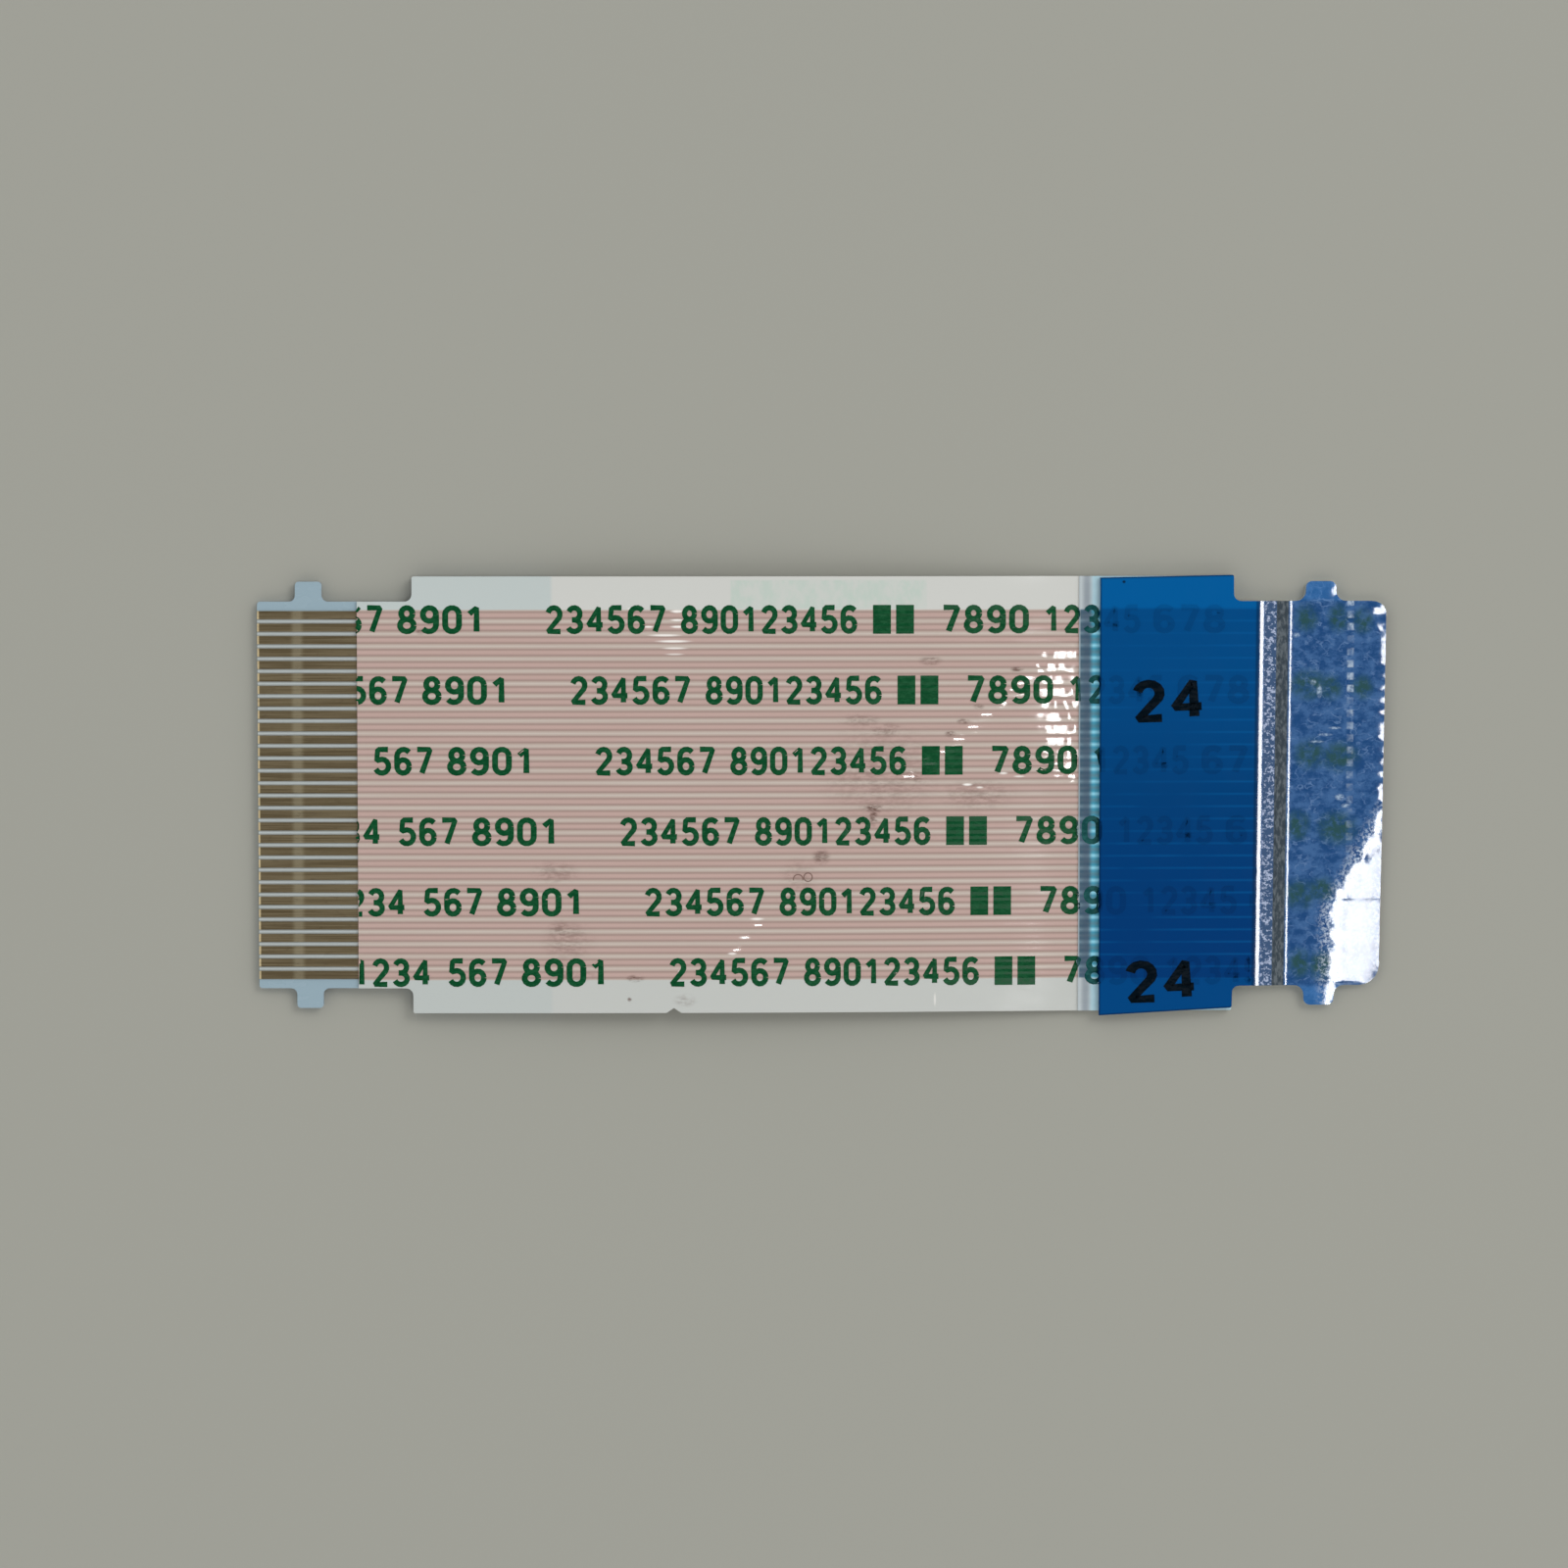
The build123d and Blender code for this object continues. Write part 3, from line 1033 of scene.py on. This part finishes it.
def tape_finish(name="tape_deep_blue", over_print=False):
    """Deep blue tape: smooth over the films, and crinkled where it lies on the bare contacts."""
    tape = Finish(name, specular=0.4)
    across = tape.line(tape.y, -bend_lean, tape.x)
    on_end = tape.rise(across, crease_edge / mm + 0.3, crease_edge / mm + 0.4)
    colour = tape.mix(on_end, tape_body_colour(tape, across), tape_end_colour(tape))
    # The bend's foot: a lilac band speckled with painted glints, and a grainy dark grey one
    land = land_edge / mm
    lilac = tape.band(across, land - 0.9, land - 0.42, 0.04)
    glints = tape.rise(tape.grain(0.16, 0.14, 3, 0.7, 9.0), 0.5, 0.6)
    colour = tape.mix(lilac, colour, tape.mix(glints, tone(64, 88, 122), tone(172, 184, 210)))
    dark = tape.band(across, land - 0.42, land + 0.08, 0.03)
    grainy = tape.rise(tape.grain(0.12, 0.3, 3, 0.6, 4.0), 0.4, 0.65)
    dark_colour = tape.mix(grainy, tone(60, 68, 72), tone(100, 107, 110))
    colour = tape.mix(tape.times(dark, 0.95), colour, dark_colour)
    if over_print:
        colour = tape.mix(1.0, colour, tone(226, 234, 236), "MULTIPLY")
    roughness = tape.rise(tape.grain(0.8, 0.8), 0.3, 0.7, 0.04, 0.055)
    normal = tape.bump(tape.times(on_end, tape.grain(0.14, 0.14, 3, 0.6)), 0.0007)
    return tape.done(colour, roughness, normal)


def ink_finish(name, main, worn, roughness=0.2, specular=0.1):
    """Printed ink, a little uneven."""
    ink = Finish(name, roughness=roughness, specular=specular)
    patchy = ink.rise(ink.grain(0.25, 0.12, 3, 0.6), 0.35, 0.7)
    colour = ink.mix(patchy, main, worn)
    return ink.done(colour, ink.rise(patchy, 0, 1, roughness, roughness + 0.1))


# Print

row_spacing = 2.845 * mm
row_shift = 0.99 * mm
first_row = 7.07 * mm
row_count = 6
figure_height = 1.16 * mm

# Each group of figures, in millimetres: where it starts in the first row, how wide it is, and the
# figures
groups = (
    (-23.9, 3.2, "1234"),
    (-20.0, 2.4, "567"),
    (-17.03, 3.5, "8901"),
    (-11.1, 4.85, "234567"),
    (-5.65, 7.1, "890123456"),
    (4.82, 3.55, "7890"),
    (8.97, 3.9, "12345"),
    (13.4, 2.9, "678"),
    (19.1, 3.4, "4567"),
    (23.1, 3.2, "8901"),
)
block_start = 1.97 * mm
block_pitch = 0.93 * mm
block_width = 0.72 * mm


def arc(middle_x, middle_y, reach_x, reach_y, start, finish):
    """Points along part of an ellipse, in shares of a figure's height and in degrees."""
    steps = max(int(abs(finish - start) / 24), 2)
    angles = [radians(start + (finish - start) * i / steps) for i in range(steps + 1)]
    return [(middle_x + reach_x * cos(a), middle_y + reach_y * sin(a)) for a in angles]


# The plain figures: each is drawn in a box 0.62 wide and 1 high with a few strokes
figure_strokes = {
    "0": [
        arc(0.31, 0.69, 0.22, 0.22, 0, 180)
        + arc(0.31, 0.31, 0.22, 0.22, 180, 360)
        + [(0.53, 0.69)],
    ],
    "1": [[(0.14, 0.70), (0.37, 0.91), (0.37, 0.09)]],
    "2": [arc(0.31, 0.68, 0.21, 0.23, 165, -35) + [(0.1, 0.09), (0.54, 0.09)]],
    "3": [
        arc(0.3, 0.70, 0.2, 0.21, 160, -90) + [(0.22, 0.49)],
        [(0.22, 0.49)] + arc(0.3, 0.29, 0.22, 0.2, 90, -160),
    ],
    "4": [[(0.43, 0.09), (0.43, 0.91), (0.07, 0.32), (0.57, 0.32)]],
    "5": [[(0.51, 0.91), (0.16, 0.91), (0.12, 0.51)] + arc(0.3, 0.33, 0.23, 0.24, 115, -155)],
    "6": [
        arc(0.31, 0.32, 0.21, 0.23, 0, 360),
        arc(0.33, 0.68, 0.23, 0.23, 35, 180) + [(0.1, 0.32)],
    ],
    "7": [[(0.08, 0.91), (0.53, 0.91), (0.24, 0.09)]],
    "8": [arc(0.31, 0.71, 0.18, 0.2, 0, 360), arc(0.31, 0.3, 0.22, 0.21, 0, 360)],
    "9": [
        arc(0.31, 0.68, 0.21, 0.23, 0, 360),
        [(0.52, 0.68)] + arc(0.29, 0.32, 0.23, 0.23, 0, -145),
    ],
}
figure_box_width = 0.62
figure_room = 0.1
figure_stroke = 0.19
sharp_corner = radians(35)


def with_cut_corners(points, cut=0.05):
    """A stroke whose sharp corners are cut off a little, so that it keeps its width there."""
    places = [Vector(point) for point in points]
    made = [places[0]]
    for before, corner, after in zip(places, places[1:], places[2:]):
        if (corner - before).angle(after - corner) > sharp_corner:
            made.append(corner + cut * (before - corner).normalized())
            made.append(corner + cut * (after - corner).normalized())
        else:
            made.append(corner)
    return made + [places[-1]]


def figures(text, start, width, middle_height, height=figure_height, tilt=0):
    """A run of figures as flat strokes, spread over a width."""
    data = bpy.data.curves.new("figures", "CURVE")
    data.dimensions = "3D"
    data.bevel_depth = figure_stroke / 2
    data.bevel_resolution = 1
    data.twist_mode = "Z_UP"
    data.use_fill_caps = True
    advance = figure_box_width + figure_room
    for place, figure in enumerate(text):
        for number, stroke_points in enumerate(figure_strokes[figure]):
            line = data.splines.new("POLY")
            shape = with_cut_corners(stroke_points)
            line.points.add(len(shape) - 1)
            for point, (x, y) in zip(line.points, shape):
                point.co = (x + place * advance, y, number * figure_stroke / 3, 1)
    run = bpy.data.objects.new("figures", data)
    bpy.context.collection.objects.link(run)
    select_only(run)
    bpy.ops.object.convert(target="MESH")
    run = bpy.context.object
    across = width / (len(text) * advance - figure_room)
    fit = Matrix.Translation((start, middle_height - height / 2, flat_thickness / 2))
    fit @= Matrix.Rotation(radians(tilt), 4, "Z")
    fit @= Matrix.Diagonal((across, height, flat_thickness / figure_stroke, 1))
    run.data.transform(fit)
    return run


def keep_between(piece, start, finish):
    """Cuts off what a piece has beyond two places along the cable."""
    select_only(piece)
    bpy.ops.object.mode_set(mode="EDIT")
    for place, side in ((start, -1), (finish, 1)):
        bpy.ops.mesh.select_all(action="SELECT")
        bpy.ops.mesh.bisect(
            plane_co=(place, 0, 0), plane_no=(side, 0, 0), use_fill=True, clear_outer=True
        )
    bpy.ops.object.mode_set(mode="OBJECT")
    return piece


def print_row(number):
    """One row of plain figures, with two squares in it, as one piece."""
    middle = first_row - number * row_spacing
    shift = number * row_shift
    pieces = []
    for start, width, text in groups:
        if start * mm + shift < right_end and start * mm + width * mm + shift > strip_edge:
            pieces.append(figures(text, start * mm + shift, width * mm, middle))
    for place in (0, 1):
        across = block_start + shift + (place + 0.5) * block_pitch
        bpy.ops.mesh.primitive_cube_add(size=1, location=(across, middle, flat_thickness / 2))
        block = bpy.context.object
        block.scale = (block_width, figure_height, flat_thickness)
        bpy.ops.object.transform_apply(location=True, rotation=False, scale=True)
        pieces.append(block)
    bpy.ops.object.select_all(action="DESELECT")
    for piece in pieces:
        piece.select_set(True)
    bpy.context.view_layer.objects.active = pieces[0]
    bpy.ops.object.join()
    row = bpy.context.object
    row.name = f"print_row_{number + 1}"
    return row


def copied(piece, name):
    copy = piece.copy()
    copy.data = piece.data.copy()
    copy.name = name
    bpy.context.collection.objects.link(copy)
    return copy


# Where the print is cut so that it can follow the film: as the film is, and more finely in the
# strips between two long cuts where the film is creased
creased_strips = (18, 19, 20, 24, 25, 26, 27, 28, 29, 30, 31)
shares = [i / 10 for i in range(1, 10)]
print_cuts = long_cuts + fine_cuts
print_cuts += [left_end + (strip + share) * mm for strip in creased_strips for share in shares]


def lay_print(piece, low, high):
    """Cuts a print along the ridges and lays it on a surface."""
    select_only(piece)
    along = [corner.co.x for corner in piece.data.vertices]
    across = [corner.co.y for corner in piece.data.vertices]
    bpy.ops.object.mode_set(mode="EDIT")
    cut_across(1, [y for y in row_cuts if min(across) < y < max(across)])
    cut_across(0, [x for x in print_cuts if min(along) < x < max(along)])
    bpy.ops.object.mode_set(mode="OBJECT")
    lay(piece, low, high)


# Print stands this far over the surface below it, and ends this far from an edge
ink_thickness = 0.006 * mm
ink_gap = 0.015 * mm


def on_film(x, y):
    return film_top(x, y) + ink_thickness


def on_tape(x, y):
    return tape_surface(x, y) + ink_thickness


def on_tape_twice(x, y):
    """Over print that is on the tape already."""
    return on_tape(x, y) + overlap_step


def make_print(green, teal, dim):
    """The green rows on the film, and the same rows seen through the adhesive and the tape."""
    on_glue = flat(adhesive_top + ink_thickness)
    for number in range(row_count):
        row = print_row(number)
        stretches = (
            ("glue", adhesive_edge + ink_gap, tape_edge - ink_gap, on_glue, teal),
            ("tape", tape_edge + ink_gap, crease_edge - 0.1 * mm, on_tape, dim),
        )
        for place, start, finish, surface, ink in stretches:
            part = keep_between(copied(row, f"print_row_{number + 1}_{place}"), start, finish)
            if part.data.vertices:
                lay_print(part, lambda x, y: surface(x, y) - 2 * ink_thickness, surface)
                finish_piece(part, ink)
            else:
                bpy.data.objects.remove(part)
        keep_between(row, strip_edge + ink_gap, adhesive_edge - ink_gap)
        lay_print(row, lambda x, y: film_top(x, y) - 0.01 * mm, on_film)
        finish_piece(row, green)


# The work

make_top_film(film_finish())
make_bottom_film(bottom_film_finish())
make_tape(tape_finish())

finishes = {
    "stiffener": stiffener_finish(),
    "tape_adhesive": adhesive_finish(),
}
bronze = conductor_finish()
for name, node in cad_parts.items():
    finish = finishes.get(name, bronze)
    node.data.materials.clear()
    node.data.materials.append(finish)

make_print(
    ink_finish("ink_green", tone(10, 70, 38), tone(24, 84, 50)),
    ink_finish("ink_teal", tone(4, 66, 66), tone(14, 86, 84), 0.15, 0.2),
    tape_finish("ink_under_tape", over_print=True),
)

mark_ink = ink_finish("ink_black", tone(4, 14, 22), tone(6, 17, 26), 0.1, 0.05)
mark_places = ((12.6 * mm, 3.72 * mm), (12.35 * mm, -7.65 * mm))
mark_width = 2.9 * mm
mark_height = 1.72 * mm
mark_tilt = 3
for number, (x, y) in enumerate(mark_places):
    mark = figures("24", x, mark_width, y, mark_height, mark_tilt)
    lay_print(mark, lambda x, y: tape_surface(x, y) - ink_thickness, on_tape_twice)
    mark.name = f"tape_mark_{number + 1}"
    finish_piece(mark, mark_ink)

# Floor, light and camera

bpy.ops.mesh.primitive_plane_add(size=3)
floor = bpy.context.object
floor.name = "floor"
floor_finish = Finish("floor_pale", roughness=0.7, specular=0.2)
floor.data.materials.append(floor_finish.done(tone(162, 162, 153)))

world = bpy.data.worlds.new("soft_sky")
bpy.context.scene.world = world
world.use_nodes = True
sky = world.node_tree.nodes
sky_links = world.node_tree.links
coordinates = sky.new("ShaderNodeTexCoord")
split = sky.new("ShaderNodeSeparateXYZ")
brightness = sky.new("ShaderNodeMapRange")
brightness.interpolation_type = "SMOOTHSTEP"
sky_links.new(coordinates.outputs["Generated"], split.inputs[0])
sky_links.new(split.outputs["Z"], brightness.inputs["Value"])
sky_links.new(brightness.outputs["Result"], sky["Background"].inputs["Strength"])
# It is darker overhead, so that the glossy films show their own colours
for place, value in enumerate((cos(radians(60)), cos(radians(12)), 1.25, 0.06), 1):
    brightness.inputs[place].default_value = value
sky["Background"].inputs["Color"].default_value = (1, 1, 1, 1)


def facing(direction):
    """The turn that points a lamp's or camera's back in a direction, with its sides level."""
    back = direction.normalized()
    side = Vector((0, 1, 0)).cross(back).normalized()
    return Matrix((side, back.cross(side), back)).transposed().to_euler()


def lamp(name, across, along, width, height, distance, radiance):
    """A soft panel that faces the cable. Its direction is given as tilts from straight up."""
    towards = Vector((tan(radians(across)), tan(radians(along)), 1)).normalized()
    data = bpy.data.lights.new(name, "AREA")
    data.shape = "RECTANGLE"
    data.size = width
    data.size_y = height
    data.energy = radiance * pi * width * height
    panel = bpy.data.objects.new(name, data)
    panel.location = towards * distance
    panel.rotation_euler = facing(towards)
    bpy.context.collection.objects.link(panel)


lamp("key_panel", 40, 38, 0.5, 0.5, 1.1, 4.1)
lamp("ceiling_panel", 13.6, -4.9, 0.055, 0.18, 1.2, 31)

camera_distance = 200 * mm
camera_data = bpy.data.cameras.new("camera")
camera_data.angle = radians(17.96)
camera_data.clip_start = 0.01
camera = bpy.data.objects.new("camera", camera_data)
bpy.context.collection.objects.link(camera)
aim = Vector((-1.5 * mm, 0.43 * mm, 0.4 * mm))
towards_camera = Vector((-sin(radians(1.7)), sin(radians(3.7)), 1)).normalized()
camera.location = aim + camera_distance * towards_camera
camera.rotation_euler = facing(towards_camera)
bpy.context.scene.camera = camera
bpy.context.scene.view_settings.view_transform = "Standard"
